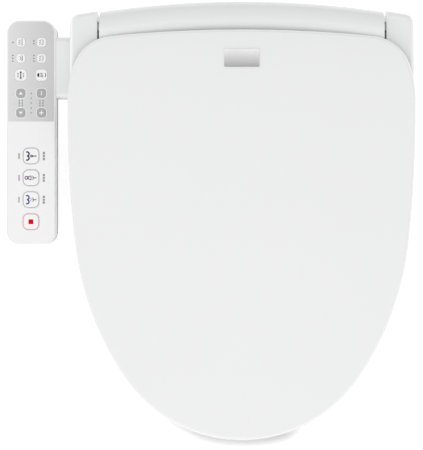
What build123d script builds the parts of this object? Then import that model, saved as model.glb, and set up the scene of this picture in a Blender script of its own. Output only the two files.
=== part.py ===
from build123d import *
import math
import os

# Electric bidet seat for an elongated bowl, in millimetres.
# Origin: midway between the two bowl bolts, on the bowl rim. X runs to the right with the
# rear up, as the seat is seen from above, Y runs to the rear and Z runs up.

os.makedirs("parts", exist_ok=True)


# Clearances
seam_gap = 0.3
running_gap = 0.08
slit_gap = 3.0

# Lid: plan outline, crown and wall
lid_width = 410.0
lid_nose = 477.0
lid_back = 1.3
lid_back_radius = 1740.0
corner_long_radius = 120.0
corner_long_turn = 20.0
corner_radius = 50.0
nose_radius = 168.0
nose_turn = 56.0
flank_turn = 28.0
lid_back_height = 140.0
lid_nose_height = 58.0
crown_radius = 4000.0
lid_wall = 3.2
lid_edge_radius = 4.0
lid_lip_drop = 10.5
lid_lip_slope = 7.5
lid_skirt_start = 104.0
lid_skirt_drop = 14.0
lid_skirt_depth = 54.0
lid_front_skirt_depth = 22.0

# Hinge axis, pins and the bowed hinge cover of the lid
hinge_y = 8.0
hinge_drop = 32.0
hinge_pin_radius = 5.0
cover_bow_radius = 1090.0
cover_radius = 24.0
cover_wall = 2.8
cover_start = -35.0
cover_end = 158.0
cover_end_wall = 3.5
cover_rear = 41.2
web_back = 11.0
web_thickness = 3.0
web_half = 140.0
web_foot_rise = 8.0

# Housing: plan, heights and wall
house_width = 409.0
house_rear = 38.0
house_bow_radius = 1240.0
house_wall = 2.8
house_front = 97.0
house_corner = 12.0
snout_width = 184.0
pod_inside = 171.5
pod_top_gap = 6.0
pod_edge_radius = 6.0
deck_drop = 34.0
deck_front = 60.0
brow_front = 93.0
brow_height = 44.0
snout_height = 38.0
trough_gap = 2.0
rear_sill_drop = 26.0
parting_height = 32.0
base_underside = 2.0
floor_thickness = 3.0

# Seat ring
seat_inset = 7.5
seat_back = 101.0
seat_back_drop = 43.5
seat_nose_drop = 13.3
seat_under_height = 44.0
seat_under_slope = 4.2
seat_wall = 3.0
seat_outer_round = 12.0
seat_inner_round = 14.0
seat_corner = 10.0
opening_width = 216.0
opening_length = 276.0
opening_center = 288.0
arm_inside = 126.0
arm_width = 34.0
arm_boss_radius = 13.0
heater_inset = 22.0
heater_thickness = 0.8

# Mounting plate and its recess in the base
bolt_spacing = 140.0
bolt_slot_width = 9.0
bolt_slot_length = 34.0
plate_width = 190.0
plate_front = 56.0
plate_back = 26.0
plate_thickness = 5.0
plate_lip = 7.0
plate_lip_height = 10.0
recess_height = 16.0
recess_side_gap = 3.0

# Underside pockets for the water and cord connections
pocket_inside = 165.0
pocket_front = 30.0
pocket_back = 12.0
pocket_height = 24.0
pocket_wall = 3.0
inlet_x = -188.0
inlet_y = -9.0
inlet_radius = 10.45
inlet_length = 16.0

# Side control panel
panel_width = 59.5
panel_length = 270.0
panel_corner = 16.0
panel_center_x = -253.0
panel_center_y = -112.3
panel_height = 80.0
panel_slope = 9.5
panel_wall = 2.4
panel_upper_depth = 13.0
panel_depth = 26.0
panel_edge_radius = 3.5
film_inset = 2.2
film_thickness = 0.6
film_split_share = 0.4519
arm_inset = 19.5
arm_length = 75.0
arm_depth = 24.0

# Keys of the panel
key_gap = 0.15
key_rise = 0.5
key_flange = 1.0
key_travel = 0.6
key_pair_offset = 12.4
small_key_size = 10.6
medium_key_size = 13.8
large_key_size = 20.4

# Spray wand, in a frame that slopes down to the front
wand_tip_inset = 2.0
wand_tip_z = 20.0
wand_head_room = 69.2
wand_radius = 6.0
wand_bore = 4.0
wand_tip_radius = 7.0
wand_tip_length = 20.0
wand_length = 138.0
wand_travel = 75.0
wand_hidden = 21.0
wand_tail = 12.0
wand_spray_radius = 0.8
feed_radius = 3.4
cradle_wall = 2.5
gear_module = 1.0
gear_teeth = 14
gear_width = 5.0
gear_pressure_angle = 20.0
gear_backlash = 0.3
rack_seat = 7.0
rack_spare = 3.0
motor_radius = 11.0
motor_length = 16.0

# Dryer
blower_x = 52.0
blower_y = -60.0
blower_z = 41.0
blower_radius = 20.0
blower_width = 24.0
blower_wall = 1.6
impeller_radius = 15.5
impeller_blades = 14
flap_width = 28.0
flap_height = 18.0
flap_thickness = 1.8
flap_pin_radius = 0.8
flap_bottom = 9.0


# Heights and places that follow from the sizes above
lid_lip_height = lid_back_height - lid_lip_drop
lid_skirt_height = lid_back_height - lid_skirt_depth
lid_front_skirt_height = lid_nose_height - lid_front_skirt_depth
hinge_z = lid_back_height - hinge_drop
web_foot = hinge_z + web_foot_rise
deck_height = hinge_z - deck_drop
rear_sill_height = hinge_z - rear_sill_drop
cover_mid = cover_rear - cover_radius
trough_radius = cover_radius + abs(hinge_y - cover_mid) + trough_gap
roof_low = min(deck_height, hinge_z - trough_radius) - house_wall
seat_back_height = lid_back_height - seat_back_drop
seat_nose_height = lid_nose_height - seat_nose_drop
seat_top_slope = math.degrees(math.atan2(seat_back_height - seat_nose_height, lid_nose - seat_back))
snout_front = wand_length - wand_hidden
wand_tip_y = wand_tip_inset - snout_front
wand_slope = math.degrees(math.asin((hinge_z - wand_head_room) / (wand_length + wand_tail)))
pinion_place = wand_length - wand_travel - rack_spare


def save(piece, label):
    """Name a finished piece and write it as a STEP file."""
    piece.part.label = label
    export_step(piece.part, f"parts/{label}.step")


# Plan outline of the lid, moved in by inset

def lid_plan(inset):
    """Rear arc, two corner arcs, then side, flank and nose arcs, all tangent, mirrored about X = 0."""
    half = lid_width / 2 - inset
    back_radius = lid_back_radius - inset
    long_radius = corner_long_radius - inset
    short_radius = corner_radius - inset
    front_radius = nose_radius - inset
    split = math.radians(corner_long_turn)

    # The rear arc ends where its slope meets the corner arc
    end_x = half - short_radius
    for _ in range(30):
        heading = math.acos(end_x / back_radius)
        end_x = half - long_radius * (1 - math.cos(split))
        end_x -= short_radius * (math.cos(split) - math.cos(heading))
    end_y = -lid_back - inset - back_radius * (1 - math.sin(heading))
    wide_y = end_y - long_radius * math.sin(split)
    wide_y -= short_radius * (math.sin(heading) - math.sin(split))

    # Side and flank radii that reach the widest point from the nose
    first = math.radians(nose_turn)
    second = math.radians(nose_turn + flank_turn)
    run_x = half - front_radius * math.sin(first)
    run_y = wide_y + lid_nose - inset - front_radius * (1 - math.cos(first))
    flank_x = math.sin(second) - math.sin(first)
    flank_y = math.cos(first) - math.cos(second)
    side_x = 1 - math.sin(second)
    side_y = math.cos(second)
    det = flank_x * side_y - side_x * flank_y
    flank_radius = (run_x * side_y - side_x * run_y) / det
    side_radius = (flank_x * run_y - run_x * flank_y) / det

    with BuildSketch() as plan:
        with BuildLine():
            nose = JernArc((0, -lid_nose + inset), (1, 0), front_radius, nose_turn)
            flank = JernArc(nose @ 1, nose % 1, flank_radius, flank_turn)
            side = JernArc(flank @ 1, flank % 1, side_radius, 90 - nose_turn - flank_turn)
            shoulder = JernArc(side @ 1, side % 1, long_radius, corner_long_turn)
            corner_turn = math.degrees(heading) - corner_long_turn
            corner = JernArc(shoulder @ 1, shoulder % 1, short_radius, corner_turn)
            JernArc(corner @ 1, corner % 1, back_radius, 90 - math.degrees(heading))
            mirror(about=Plane.YZ)
        make_face()
    return plan.sketch


# Crowned block with the lid's outline, moved in on every side by inset

crown_rise = lid_back_height - lid_nose_height
crown_run = lid_nose - lid_back
crown_chord = math.hypot(crown_rise, crown_run)
crown_reach = math.sqrt(crown_radius**2 - (crown_chord / 2) ** 2)
crown_center_y = -(lid_nose + lid_back) / 2 + crown_reach * crown_rise / crown_chord
crown_center_z = (lid_back_height + lid_nose_height) / 2 - crown_reach * crown_run / crown_chord


def crowned_block(inset):
    with BuildPart() as block:
        with BuildSketch():
            add(lid_plan(inset))
        extrude(amount=2 * lid_back_height)
        with Locations((0, crown_center_y, crown_center_z)):
            Sphere(crown_radius - inset, mode=Mode.INTERSECT)
        crown = block.faces().filter_by(GeomType.SPHERE)
        fillet(crown.edges(), lid_edge_radius - inset)
    return block.part


# Lid panel: a crowned shell with a shallow lip behind the seat and a deep skirt around the ring

lip_rise = math.tan(math.radians(lid_lip_slope))
lip_start = (lid_width, lid_lip_height + lid_width * lip_rise)
lip_end = (-lid_skirt_start, lid_lip_height - lid_skirt_start * lip_rise)
skirt_start = (-lid_skirt_start - lid_skirt_drop, lid_skirt_height)
skirt_slope = (lid_skirt_height - lid_front_skirt_height) / (lid_nose + skirt_start[0])
skirt_end = (-2 * lid_nose, lid_skirt_height - skirt_slope * (2 * lid_nose + skirt_start[0]))
lid_core = crowned_block(lid_wall)

with BuildPart() as lid_panel:
    add(crowned_block(0))
    add(lid_core, mode=Mode.SUBTRACT)
    with BuildSketch(Plane.YZ):
        with BuildLine():
            FilletPolyline(lip_start, lip_end, skirt_start, skirt_end, radius=lid_edge_radius)
            Polyline(skirt_end, (-2 * lid_nose, -lid_nose), (lid_width, -lid_nose), lip_start)
        make_face()
    extrude(amount=lid_width, both=True, mode=Mode.SUBTRACT)
save(lid_panel, "lid_panel")


# Lid hinge cover: a bowed half tube between the pods, closed at its ends, hung from the lid by a web

cover_half = pod_inside - slit_gap
bow_axis = Axis((0, cover_rear - cover_bow_radius, 0), (0, 0, 1))
bow_turn = math.degrees(math.asin(pod_inside / (cover_bow_radius - 2 * cover_radius)))
cover_sweep = cover_end - cover_start


def bowed(profile):
    """Sweep a profile of the YZ plane both ways along the plan bow of the rear."""
    with BuildPart() as half:
        with BuildSketch(Plane.YZ):
            add(profile)
        revolve(axis=bow_axis, revolution_arc=bow_turn)
        mirror(about=Plane.YZ)
    return half.part


with BuildSketch() as cover_profile:
    with BuildLine():
        skin = CenterArc((cover_mid, hinge_z), cover_radius, cover_start, cover_sweep)
        inside = CenterArc((cover_mid, hinge_z), cover_radius - cover_wall, cover_start, cover_sweep)
        Line(skin @ 0, inside @ 0)
        Line(skin @ 1, inside @ 1)
    make_face()

with BuildSketch() as cover_disc:
    with Locations((cover_mid, hinge_z)):
        Circle(cover_radius)

with BuildPart() as cover_web:
    with BuildSketch(Plane.XY.offset(web_foot)):
        with Locations((0, -web_back - web_thickness / 2)):
            Rectangle(2 * web_half, web_thickness)
    extrude(amount=lid_back_height)
    add(lid_core, mode=Mode.INTERSECT)

with BuildPart() as cover_ends:
    add(bowed(cover_disc.sketch))
    with BuildSketch(Plane.XY.offset(hinge_z)):
        Rectangle(2 * (cover_half - cover_end_wall), 4 * cover_rear)
    extrude(amount=2 * cover_radius, both=True, mode=Mode.SUBTRACT)

with BuildPart() as lid_hinge_cover:
    add(bowed(cover_profile.sketch))
    add(cover_ends.part)
    with BuildSketch(Plane.XY.offset(hinge_z)):
        Rectangle(2 * cover_half, 4 * cover_rear)
    extrude(amount=2 * cover_radius, both=True, mode=Mode.INTERSECT)
    add(cover_web.part)
    with Locations((0, hinge_y, hinge_z)):
        Cylinder(hinge_pin_radius + running_gap, lid_width, rotation=(0, 90, 0), mode=Mode.SUBTRACT)
save(lid_hinge_cover, "lid_hinge_cover")


# Housing outline seen from above, moved in by inset: bowed rear, square shoulders, snout at the front

def house_plan(inset):
    half = house_width / 2 - inset
    bow = house_bow_radius - inset
    shoulder_y = house_rear - house_bow_radius + math.sqrt(bow**2 - half**2)
    front_y = -house_front + inset
    snout_half = snout_width / 2 - inset
    snout_y = -snout_front + inset
    with BuildSketch() as plan:
        with BuildLine():
            ThreePointArc((half, shoulder_y), (0, house_rear - inset), (-half, shoulder_y))
            Polyline((-half, shoulder_y), (-half, front_y), (-snout_half, front_y), (-snout_half, snout_y),
                     (snout_half, snout_y), (snout_half, front_y), (half, front_y), (half, shoulder_y))
        make_face()
        outer_corners = plan.vertices().filter_by(lambda v: abs(v.X) > snout_half + 1)
        nose_corners = plan.vertices().filter_by(lambda v: v.Y < front_y - 1)
        fillet(outer_corners + nose_corners, house_corner - inset)
    return plan.sketch


# Housing block, moved in by inset: a low deck and sloping brow between two tall pods

def house_block(inset):
    pod_height = lid_lip_height - pod_top_gap - inset
    sill = rear_sill_height - inset
    deck = deck_height - inset
    brow_turn = math.atan2(deck_height - brow_height, brow_front - deck_front)
    brow_shift = inset * math.tan(brow_turn / 2)
    rise = lid_width * lip_rise
    with BuildPart() as block:
        with BuildSketch():
            add(house_plan(inset))
        extrude(amount=2 * lid_lip_height)
        # Pods rise to the rear, in line with the lip of the lid
        with BuildSketch(Plane.YZ):
            with BuildLine():
                Polyline((-lid_width, pod_height - rise), (lid_width, pod_height + rise),
                         (lid_width, lid_nose), (-lid_width, lid_nose), close=True)
            make_face()
        extrude(amount=lid_width, both=True, mode=Mode.SUBTRACT)
        tops = block.faces().sort_by(Axis.Z)[-1]
        fillet(tops.edges(), pod_edge_radius - inset)
        # Valley between the pods: snout, brow, deck, and a trough round the hinge up to the rear sill
        with BuildSketch(Plane.YZ):
            with BuildLine():
                Polyline((-lid_width, snout_height - inset), (-snout_front, snout_height - inset),
                         (-brow_front + brow_shift, brow_height - inset), (-deck_front + brow_shift, deck),
                         (hinge_y, deck), (hinge_y, sill), (lid_width, sill),
                         (lid_width, lid_nose), (-lid_width, lid_nose), close=True)
            make_face()
        extrude(amount=pod_inside + inset, both=True, mode=Mode.SUBTRACT)
        with Locations((0, hinge_y, hinge_z)):
            Cylinder(trough_radius + inset, 2 * (pod_inside + inset), rotation=(0, 90, 0), mode=Mode.SUBTRACT)
    return block.part


house_skin = house_block(0)
house_core = house_block(house_wall)
floor_top = base_underside + floor_thickness
wall_middle = house_block(house_wall / 2)


# Spray wand frame: origin at the tip, Y back along the wand, Z up from it

wand_back = (0, math.cos(math.radians(wand_slope)), math.sin(math.radians(wand_slope)))
wand_up = (0, -math.sin(math.radians(wand_slope)), math.cos(math.radians(wand_slope)))


def wand_section(distance):
    """Plane across the wand, this far behind its tip, with Y of the plane up from the wand."""
    place = Vector(0, wand_tip_y, wand_tip_z) + Vector(wand_back) * distance
    return Plane(origin=place, x_dir=(-1, 0, 0), z_dir=wand_back)


rack_plane = Plane(origin=(0, wand_tip_y, wand_tip_z), x_dir=wand_back, z_dir=(1, 0, 0))
pitch_line = rack_seat + 1.25 * gear_module
rack_addendum = 0.8 * gear_module
rack_top = pitch_line + rack_addendum


# Base tray: floor and low walls, recess for the mounting plate, two pockets for the connections

recess_half = plate_width / 2 + seam_gap
recess_roof = recess_height + floor_thickness
recess_front = plate_front + seam_gap
pocket_roof = pocket_height + pocket_wall
pocket_y = (pocket_back - pocket_front) / 2
flap_x = blower_x + blower_width / 2
flap_top = flap_bottom + flap_height
flap_pin_y = -snout_front + house_wall / 2
flap_pin_z = flap_top - flap_thickness / 2
screw_spots = [(-140, -84), (140, -84), (-148, 22), (148, 22)]
screw_post_radius = 4.5
screw_shank_radius = 1.8
screw_head_radius = 3.6
screw_head_depth = 2.6
screw_length = 40.0
board_left = 46.0
board_right = 158.0
board_front = -32.0
board_back = 15.0
board_height = 27.0
board_post_inset = 5.0
board_post_radius = 3.0
tank_left = -158.0
tank_right = -44.0
tank_front = -44.0
tank_back = 14.0
tank_rib_inset = 8.0
latch_y = -46.0
latch_width = 8.0
latch_bottom = plate_lip_height + 1.0
latch_height = 4.2
latch_travel = 4.0
latch_tooth = 2.0
latch_tooth_top = 9.0
latch_tooth_bottom = 6.0
button_width = 24.0
button_height = 11.0
button_rise = 1.2

board_spots = [
    (board_left + board_post_inset, board_front + board_post_inset),
    (board_left + board_post_inset, board_back - board_post_inset),
    (board_right - board_post_inset, board_front + board_post_inset),
    (board_right - board_post_inset, board_back - board_post_inset),
]

with BuildPart() as base_tray:
    with BuildSketch(Plane.XY.offset(base_underside)):
        add(house_plan(0))
    extrude(amount=parting_height - base_underside)
    with BuildSketch(Plane.XY.offset(floor_top)):
        add(house_plan(house_wall))
    extrude(amount=parting_height, mode=Mode.SUBTRACT)
    # Raised roofs of the recess and the pockets, held within the outer walls
    with BuildSketch(Plane.XY.offset(base_underside)):
        with Locations((0, (lid_width - recess_front - floor_thickness) / 2)):
            Rectangle(2 * (recess_half + floor_thickness), lid_width + recess_front + floor_thickness)
        add(house_plan(house_wall / 2), mode=Mode.INTERSECT)
    extrude(amount=recess_roof - base_underside)
    with BuildSketch(Plane.XY.offset(base_underside)):
        for side in (-1, 1):
            with Locations((side * (pocket_inside - pocket_wall + lid_width / 2), pocket_y)):
                Rectangle(lid_width, pocket_back + pocket_front + 2 * pocket_wall)
        add(house_plan(house_wall / 2), mode=Mode.INTERSECT)
    extrude(amount=pocket_roof - base_underside)
    # Posts for the screws, the board and the tank
    with BuildSketch(Plane.XY.offset(base_underside)):
        with Locations(*screw_spots):
            Circle(screw_post_radius)
    extrude(amount=parting_height - base_underside)
    with BuildSketch(Plane.XY.offset(recess_height)):
        with Locations(*board_spots[:2]):
            Circle(board_post_radius)
    extrude(amount=board_height - recess_height)
    with BuildSketch(Plane.XY.offset(base_underside)):
        with Locations(*board_spots[2:]):
            Circle(board_post_radius)
    extrude(amount=board_height - base_underside)
    with BuildSketch(Plane.XY.offset(base_underside)):
        with Locations((tank_left + tank_rib_inset, (tank_front + tank_back) / 2)):
            Rectangle(floor_thickness, tank_back - tank_front)
    extrude(amount=recess_roof - base_underside)
    # Recess open to the rear, with a groove each side for the lips of the plate
    with BuildSketch(Plane.XY):
        with Locations((0, (lid_width - recess_front) / 2)):
            Rectangle(2 * recess_half, lid_width + recess_front)
    extrude(amount=recess_height, mode=Mode.SUBTRACT)
    with BuildSketch(Plane.XY):
        for side in (-1, 1):
            with Locations((side * (pocket_inside + lid_width / 2), pocket_y)):
                Rectangle(lid_width, pocket_back + pocket_front)
    extrude(amount=pocket_height, mode=Mode.SUBTRACT)
    # Holes for the inlet, the gland and the screws
    with Locations((inlet_x, inlet_y, pocket_roof), (-inlet_x, inlet_y, pocket_roof)):
        Hole(inlet_radius + seam_gap, pocket_wall)
    with BuildSketch(Plane.XY.offset(base_underside)):
        with Locations(*screw_spots):
            Circle(screw_shank_radius + running_gap)
    extrude(amount=parting_height, mode=Mode.SUBTRACT)
    with BuildSketch(Plane.XY.offset(base_underside)):
        with Locations(*screw_spots):
            Circle(screw_head_radius + seam_gap)
    extrude(amount=screw_head_depth + seam_gap, mode=Mode.SUBTRACT)
    # Mouths in the snout for the wand and the dryer, and the window of the release button
    with BuildSketch(wand_section(-wand_tip_length)):
        Circle(wand_tip_radius + 3 * seam_gap)
    extrude(amount=2 * wand_tip_length, mode=Mode.SUBTRACT)
    with BuildSketch(rack_plane):
        with Locations((0, rack_top / 2 + seam_gap)):
            Rectangle(2 * wand_tip_length, rack_top + 2 * seam_gap)
    extrude(amount=gear_width / 2 + 2 * seam_gap, both=True, mode=Mode.SUBTRACT)
    with BuildSketch(Plane.XZ.offset(snout_front - 2 * house_wall)):
        with Locations((flap_x, (flap_bottom + flap_top) / 2)):
            Rectangle(flap_width + 2 * seam_gap, flap_height + 2 * seam_gap)
    extrude(amount=snout_front, mode=Mode.SUBTRACT)
    with Locations((flap_x, flap_pin_y, flap_pin_z)):
        Cylinder(flap_pin_radius + running_gap, flap_width + 4 * house_wall, rotation=(0, 90, 0),
                 mode=Mode.SUBTRACT)
    with BuildSketch(Plane.YZ.offset(recess_half - floor_thickness)):
        with Locations((latch_y, latch_bottom + latch_height / 2)):
            Rectangle(latch_width + 2 * seam_gap, latch_height + 2 * seam_gap)
    extrude(amount=2 * floor_thickness + recess_side_gap, mode=Mode.SUBTRACT)
    with BuildSketch(Plane.YZ.offset(house_width / 2 - 2 * house_wall)):
        with Locations((latch_y, latch_bottom + latch_height / 2)):
            RectangleRounded(button_width + 2 * seam_gap, button_height + 2 * seam_gap, button_height / 3)
    extrude(amount=lid_width, mode=Mode.SUBTRACT)
save(base_tray, "base_tray")


# Top cover: pods, deck, trough and brow as one shell, with bosses for the screws

with BuildPart() as cover_bosses:
    with BuildSketch(Plane.XY.offset(parting_height)):
        with Locations(*screw_spots):
            Circle(screw_post_radius)
    extrude(amount=lid_back_height)
    add(wall_middle, mode=Mode.INTERSECT)

with BuildPart() as top_cover:
    add(house_skin)
    add(house_core, mode=Mode.SUBTRACT)
    add(cover_bosses.part)
    with BuildSketch(Plane.XY.offset(base_underside)):
        with Locations(*screw_spots):
            Circle(screw_shank_radius + running_gap)
    extrude(amount=screw_length, mode=Mode.SUBTRACT)
    with Locations((0, hinge_y, hinge_z)):
        Cylinder(hinge_pin_radius + seam_gap, 2 * (pod_inside + 2 * house_wall), rotation=(0, 90, 0),
                 mode=Mode.SUBTRACT)
    split(bisect_by=Plane.XY.offset(parting_height), keep=Keep.TOP)
save(top_cover, "top_cover")

with BuildPart() as case_screws:
    with BuildSketch(Plane.XY.offset(base_underside)):
        with Locations(*screw_spots):
            Circle(screw_head_radius)
    extrude(amount=screw_head_depth)
    with BuildSketch(Plane.XY.offset(base_underside)):
        with Locations(*screw_spots):
            Circle(screw_shank_radius)
    extrude(amount=screw_length - 2 * screw_head_depth)
save(case_screws, "case_screws")


# Mounting plate on the bowl: two slotted bolt holes, raised side lips, a notch for the latch

plate_half = plate_width / 2

with BuildPart() as mount_plate:
    with BuildSketch():
        with Locations((0, (plate_back - plate_front) / 2)):
            RectangleRounded(plate_width, plate_back + plate_front, plate_lip)
    extrude(amount=plate_thickness)
    with BuildSketch(Plane.XY.offset(plate_thickness)):
        for side in (-1, 1):
            with Locations((side * (plate_half - plate_lip / 2), (plate_back - plate_front) / 2)):
                Rectangle(plate_lip, plate_back + plate_front - 4 * plate_lip)
    extrude(amount=plate_lip_height - plate_thickness)
    with BuildSketch():
        with GridLocations(bolt_spacing, 1, 2, 1):
            SlotOverall(bolt_slot_length, bolt_slot_width)
    extrude(amount=plate_thickness, mode=Mode.SUBTRACT)
    with BuildSketch(Plane.YZ.offset(plate_half - 2 * plate_lip)):
        with Locations((latch_y, (latch_tooth_top + latch_tooth_bottom) / 2)):
            Rectangle(latch_width + 2 * seam_gap, latch_tooth_top - latch_tooth_bottom + 2 * seam_gap)
    extrude(amount=4 * plate_lip, mode=Mode.SUBTRACT)
save(mount_plate, "mount_plate")

pad_length = 40.0
pad_width = 12.0
pad_spots = [(-135, -70), (135, -70), (-130, 8), (130, 8)]
with BuildPart() as base_pads:
    with BuildSketch():
        with Locations(*pad_spots):
            SlotOverall(pad_length, pad_width)
    extrude(amount=base_underside)
save(base_pads, "base_pads")


# Release button: a head in the right wall and a long bar over the plate's lip, locked by a tooth

latch_face = plate_half - plate_lip - (latch_travel - latch_tooth) / 2
latch_hook = 6.0
button_face = house_width / 2 + button_rise
head_depth = 9.0
latch_middle = latch_bottom + latch_height / 2
latch_top = latch_bottom + latch_height
with BuildPart() as release_button:
    with BuildSketch(Plane.YZ.offset(button_face)):
        with Locations((latch_y, latch_middle)):
            RectangleRounded(button_width, button_height, button_height / 3)
    extrude(amount=-head_depth)
    fillet(release_button.faces().sort_by(Axis.X)[-1].edges(), button_rise / 2)
    with BuildSketch(Plane.YZ.offset(button_face - head_depth)):
        with Locations((latch_y, latch_middle)):
            Rectangle(latch_width, latch_height)
    extrude(amount=latch_face - latch_hook - button_face + head_depth)
    with BuildSketch(Plane.YZ.offset(latch_face - latch_hook)):
        with Locations((latch_y, (latch_top + latch_tooth_bottom) / 2)):
            Rectangle(latch_width, latch_top - latch_tooth_bottom)
    extrude(amount=latch_hook)
    with BuildSketch(Plane.YZ.offset(latch_face)):
        with Locations((latch_y, (latch_tooth_top + latch_tooth_bottom) / 2)):
            Rectangle(latch_width, latch_tooth_top - latch_tooth_bottom)
    extrude(amount=plate_half - plate_lip + latch_tooth - latch_face)
save(release_button, "release_button")


# Hinges: a bracket in each pod, standing on the pocket roof, a pin and a soft-close damper

bracket_inside = pod_inside + house_wall + seam_gap
bracket_thickness = 6.0
bracket_foot = 10.0
bracket_head = 12.0
bracket_back = pocket_back + pocket_wall
damper_radius = 9.0
damper_length = 16.0
pin_end = arm_inside + 2.0
pin_root = bracket_inside + bracket_thickness

with BuildPart() as hinge_brackets:
    with BuildSketch(Plane.YZ.offset(bracket_inside)):
        with BuildLine():
            Polyline((bracket_back - bracket_foot, pocket_roof), (bracket_back, pocket_roof),
                     (hinge_y + bracket_head, hinge_z), (hinge_y - bracket_head, hinge_z), close=True)
        make_face()
        with Locations((hinge_y, hinge_z)):
            Circle(bracket_head)
        with Locations((hinge_y, hinge_z)):
            Circle(hinge_pin_radius, mode=Mode.SUBTRACT)
    extrude(amount=bracket_thickness)
    mirror(about=Plane.YZ)
save(hinge_brackets, "hinge_brackets")

with BuildPart() as hinge_pins:
    with BuildSketch(Plane.YZ.offset(pin_end)):
        with Locations((hinge_y, hinge_z)):
            Circle(hinge_pin_radius)
    extrude(amount=pin_root - pin_end)
    mirror(about=Plane.YZ)
save(hinge_pins, "hinge_pins")

with BuildPart() as hinge_dampers:
    with BuildSketch(Plane.YZ.offset(pin_root)):
        with Locations((hinge_y, hinge_z)):
            Circle(damper_radius)
    extrude(amount=damper_length)
    fillet(hinge_dampers.faces().sort_by(Axis.X)[-1].edges(), pocket_wall / 2)
    mirror(about=Plane.YZ)
save(hinge_dampers, "hinge_dampers")


# Water side: inlet spigot, solenoid valve, tank with cover and heater, two hoses

flange_thickness = 3.0
flange_radius = 13.0
inlet_bore = 6.0
neck_step = 0.6
spigot_end = pocket_roof - pocket_wall - inlet_length

with BuildPart() as water_inlet:
    with BuildSketch(Plane.XY.offset(pocket_roof)):
        with Locations((inlet_x, inlet_y)):
            Circle(flange_radius)
    extrude(amount=flange_thickness)
    with BuildSketch(Plane.XY.offset(spigot_end)):
        with Locations((inlet_x, inlet_y)):
            Circle(inlet_radius)
    extrude(amount=inlet_length)
    with BuildSketch(Plane.XY.offset(pocket_roof - pocket_wall)):
        with Locations((inlet_x, inlet_y)):
            Circle(inlet_radius - neck_step)
    extrude(amount=pocket_wall)
    with BuildSketch(Plane.XY.offset(spigot_end)):
        with Locations((inlet_x, inlet_y)):
            Circle(inlet_bore)
    extrude(amount=inlet_length, mode=Mode.SUBTRACT)
save(water_inlet, "water_inlet")

valve_base = pocket_roof + flange_thickness
valve_width = 15.0
valve_depth = 34.0
valve_height = 22.0
coil_radius = 7.2
coil_height = 24.0
valve_x = -house_width / 2 + house_wall + seam_gap + valve_width / 2
hose_radius = 4.0
hose_bore = 2.8
hose_bend = 9.0
valve_port_z = valve_base + valve_height / 2

with BuildPart() as solenoid_valve:
    with BuildSketch(Plane.XY.offset(valve_base)):
        with Locations((valve_x, inlet_y)):
            RectangleRounded(valve_width, valve_depth, valve_width / 5)
    extrude(amount=valve_height)
    with BuildSketch(Plane.XY.offset(valve_base + valve_height)):
        with Locations((valve_x, inlet_y)):
            Circle(coil_radius)
    extrude(amount=coil_height)
save(solenoid_valve, "solenoid_valve")

tank_wall = 2.0
tank_corner = 8.0
tank_cover_thickness = 3.0
tank_top = roof_low - tank_cover_thickness - 3 * seam_gap
tank_x = (tank_left + tank_right) / 2
tank_y = (tank_front + tank_back) / 2
tank_width = tank_right - tank_left
tank_depth = tank_back - tank_front

with BuildPart() as water_tank:
    with BuildSketch(Plane.XY.offset(recess_roof)):
        with Locations((tank_x, tank_y)):
            RectangleRounded(tank_width, tank_depth, tank_corner)
    extrude(amount=tank_top - recess_roof)
    with BuildSketch(Plane.XY.offset(recess_roof + tank_wall)):
        with Locations((tank_x, tank_y)):
            RectangleRounded(tank_width - 2 * tank_wall, tank_depth - 2 * tank_wall, tank_corner - tank_wall)
    extrude(amount=tank_top, mode=Mode.SUBTRACT)
save(water_tank, "water_tank")

with BuildPart() as tank_cover:
    with BuildSketch(Plane.XY.offset(tank_top)):
        with Locations((tank_x, tank_y)):
            RectangleRounded(tank_width, tank_depth, tank_corner)
    extrude(amount=tank_cover_thickness)
save(tank_cover, "tank_cover")

heater_radius = 3.5
heater_bend = 14.0
heater_low = recess_roof + tank_wall + 10.0
heater_left = tank_left + 22.0
heater_right = tank_right - 22.0
with BuildPart() as tank_heater:
    with BuildLine():
        heater_path = FilletPolyline((heater_left, tank_y, tank_top), (heater_left, tank_y, heater_low),
                                     (heater_right, tank_y, heater_low), (heater_right, tank_y, tank_top),
                                     radius=heater_bend)
    with BuildSketch(Plane(origin=heater_path @ 0, z_dir=heater_path % 0)):
        Circle(heater_radius)
    sweep()
save(tank_heater, "tank_heater")

valve_front = inlet_y - valve_depth / 2
tank_port_x = tank_left + 16.0
hose_loop_y = tank_front - 20.0
with BuildPart() as tank_hose:
    with BuildLine():
        hose_path = FilletPolyline((valve_x, valve_front, valve_port_z), (valve_x, hose_loop_y, valve_port_z),
                                   (tank_port_x, hose_loop_y, valve_port_z),
                                   (tank_port_x, tank_front, valve_port_z), radius=hose_bend)
    with BuildSketch(Plane(origin=hose_path @ 0, z_dir=hose_path % 0)):
        Circle(hose_radius)
        Circle(hose_bore, mode=Mode.SUBTRACT)
    sweep()
save(tank_hose, "tank_hose")


# Spray wand: cradle, feed tube, wand with rack, tip, stepper motor and pinion

pitch_radius = gear_module * gear_teeth / 2
pinion_up = pitch_line + pitch_radius
channel_half = wand_radius + seam_gap
channel_out = channel_half + cradle_wall
channel_rise = 3.0
cradle_start = wand_tip_length + 4.0
cradle_end = wand_length + wand_tail
cradle_block = 9.0
leg_places = [cradle_start + 8.0, cradle_end - 40.0]
leg_length = 5.0
shaft_radius = 2.0
motor_plate_half = motor_radius


def wand_point(distance, up):
    """Height and Y of a point this far behind the tip and this far above the wand axis."""
    return rack_plane.from_local_coords((distance, up, 0))


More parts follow.
